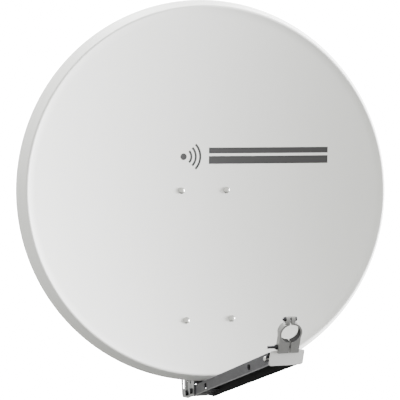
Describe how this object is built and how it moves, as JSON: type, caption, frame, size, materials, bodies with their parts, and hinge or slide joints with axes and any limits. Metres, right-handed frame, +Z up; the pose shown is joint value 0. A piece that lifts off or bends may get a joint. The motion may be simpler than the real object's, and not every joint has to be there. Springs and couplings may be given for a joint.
{
  "type": "satellite dish",
  "caption": "Offset satellite dish with a folding feed arm, two-part LNB clamp, rear channel and mast clamp with elevation tilt.",
  "frame": {"origin": "on the mast axis, at the middle of the mast clamp", "axes": "+Z up along the mast, the dish faces -Y, +X to the right of someone facing the dish"},
  "size_m": [0.9398, 0.9248, 0.9934],
  "materials": {
    "reflector_coat": "satin light grey powder coat",
    "arm_paint": "semi-gloss dark grey paint",
    "bracket_zinc": "hot-dip galvanised steel, dull",
    "fastener_zinc": "bright zinc plate",
    "fastener_black": "black zinc plate",
    "cap_plastic": "light grey moulded",
    "clamp_casting": "blasted die casting, mid grey"
  },
  "bodies": {
    "mast_mount": {"mast_bracket": "bracket_zinc", "mast_clamp_bolt_left": "fastener_zinc", "mast_clamp_bolt_right": "fastener_zinc"},
    "mast_jaw": {"mast_jaw": "bracket_zinc", "mast_clamp_washer_left": "fastener_zinc", "mast_clamp_washer_right": "fastener_zinc", "mast_clamp_nut_left": "fastener_zinc", "mast_clamp_nut_right": "fastener_zinc"},
    "dish": {"reflector": "reflector_coat", "reflector_bolt_upper_left": "fastener_zinc", "reflector_bolt_upper_right": "fastener_zinc", "reflector_bolt_lower_left": "fastener_zinc", "reflector_bolt_lower_right": "fastener_zinc", "reflector_nut_upper_left": "fastener_zinc", "reflector_nut_upper_right": "fastener_zinc", "reflector_nut_lower_left": "fastener_zinc", "reflector_nut_lower_right": "fastener_zinc", "support_channel": "bracket_zinc", "upper_cross_strap": "bracket_zinc", "lower_cross_strap": "bracket_zinc", "strap_rivet_upper_left": "fastener_zinc", "strap_rivet_upper_right": "fastener_zinc", "strap_rivet_lower_left": "fastener_zinc", "strap_rivet_lower_right": "fastener_zinc", "elevation_pivot_bolt": "fastener_zinc", "elevation_pivot_washer": "fastener_zinc", "elevation_pivot_nut": "fastener_zinc", "elevation_lock_bolt": "fastener_zinc", "elevation_lock_washer": "fastener_zinc", "elevation_lock_nut": "fastener_zinc", "arm_pivot_bolt": "fastener_black", "arm_pivot_washer": "fastener_black", "arm_pivot_nut": "fastener_black"},
    "arm": {"feed_arm": "arm_paint", "arm_lock_bolt": "fastener_black", "arm_lock_washer": "fastener_black", "arm_lock_nut": "fastener_black", "arm_end_cap": "cap_plastic", "holder_cross_bolt": "fastener_zinc", "holder_cross_nut": "fastener_zinc", "holder_screw": "fastener_black", "lnb_clamp_fixed_half": "clamp_casting", "lnb_clamp_lower_screw": "fastener_black", "lnb_clamp_upper_screw": "fastener_black"},
    "lnb_clamp_slide": {"lnb_clamp_loose_half": "clamp_casting", "lnb_clamp_lower_nut": "fastener_black", "lnb_clamp_upper_nut": "fastener_black"}
  },
  "joints": [
    {"name": "elevation_tilt", "type": "hinge", "parent": "mast_mount", "child": "dish", "pos_m": [0, -0.16, 0.025], "axis": [-1, 0, 0], "range_deg": [-10, 30]},
    {"name": "feed_arm_fold", "type": "hinge", "parent": "dish", "child": "arm", "pos_m": [0, -0.222, -0.3568], "axis": [1, 0, 0], "range_deg": [0, 90]},
    {"name": "lnb_clamp_squeeze", "type": "slide", "parent": "arm", "child": "lnb_clamp_slide", "axis": [1, 0, 0], "range_m": [-0.004, 0.0025]},
    {"name": "mast_jaw_slide", "type": "slide", "parent": "mast_mount", "child": "mast_jaw", "axis": [0, -1, 0], "range_m": [0, 0.032]}
  ]
}
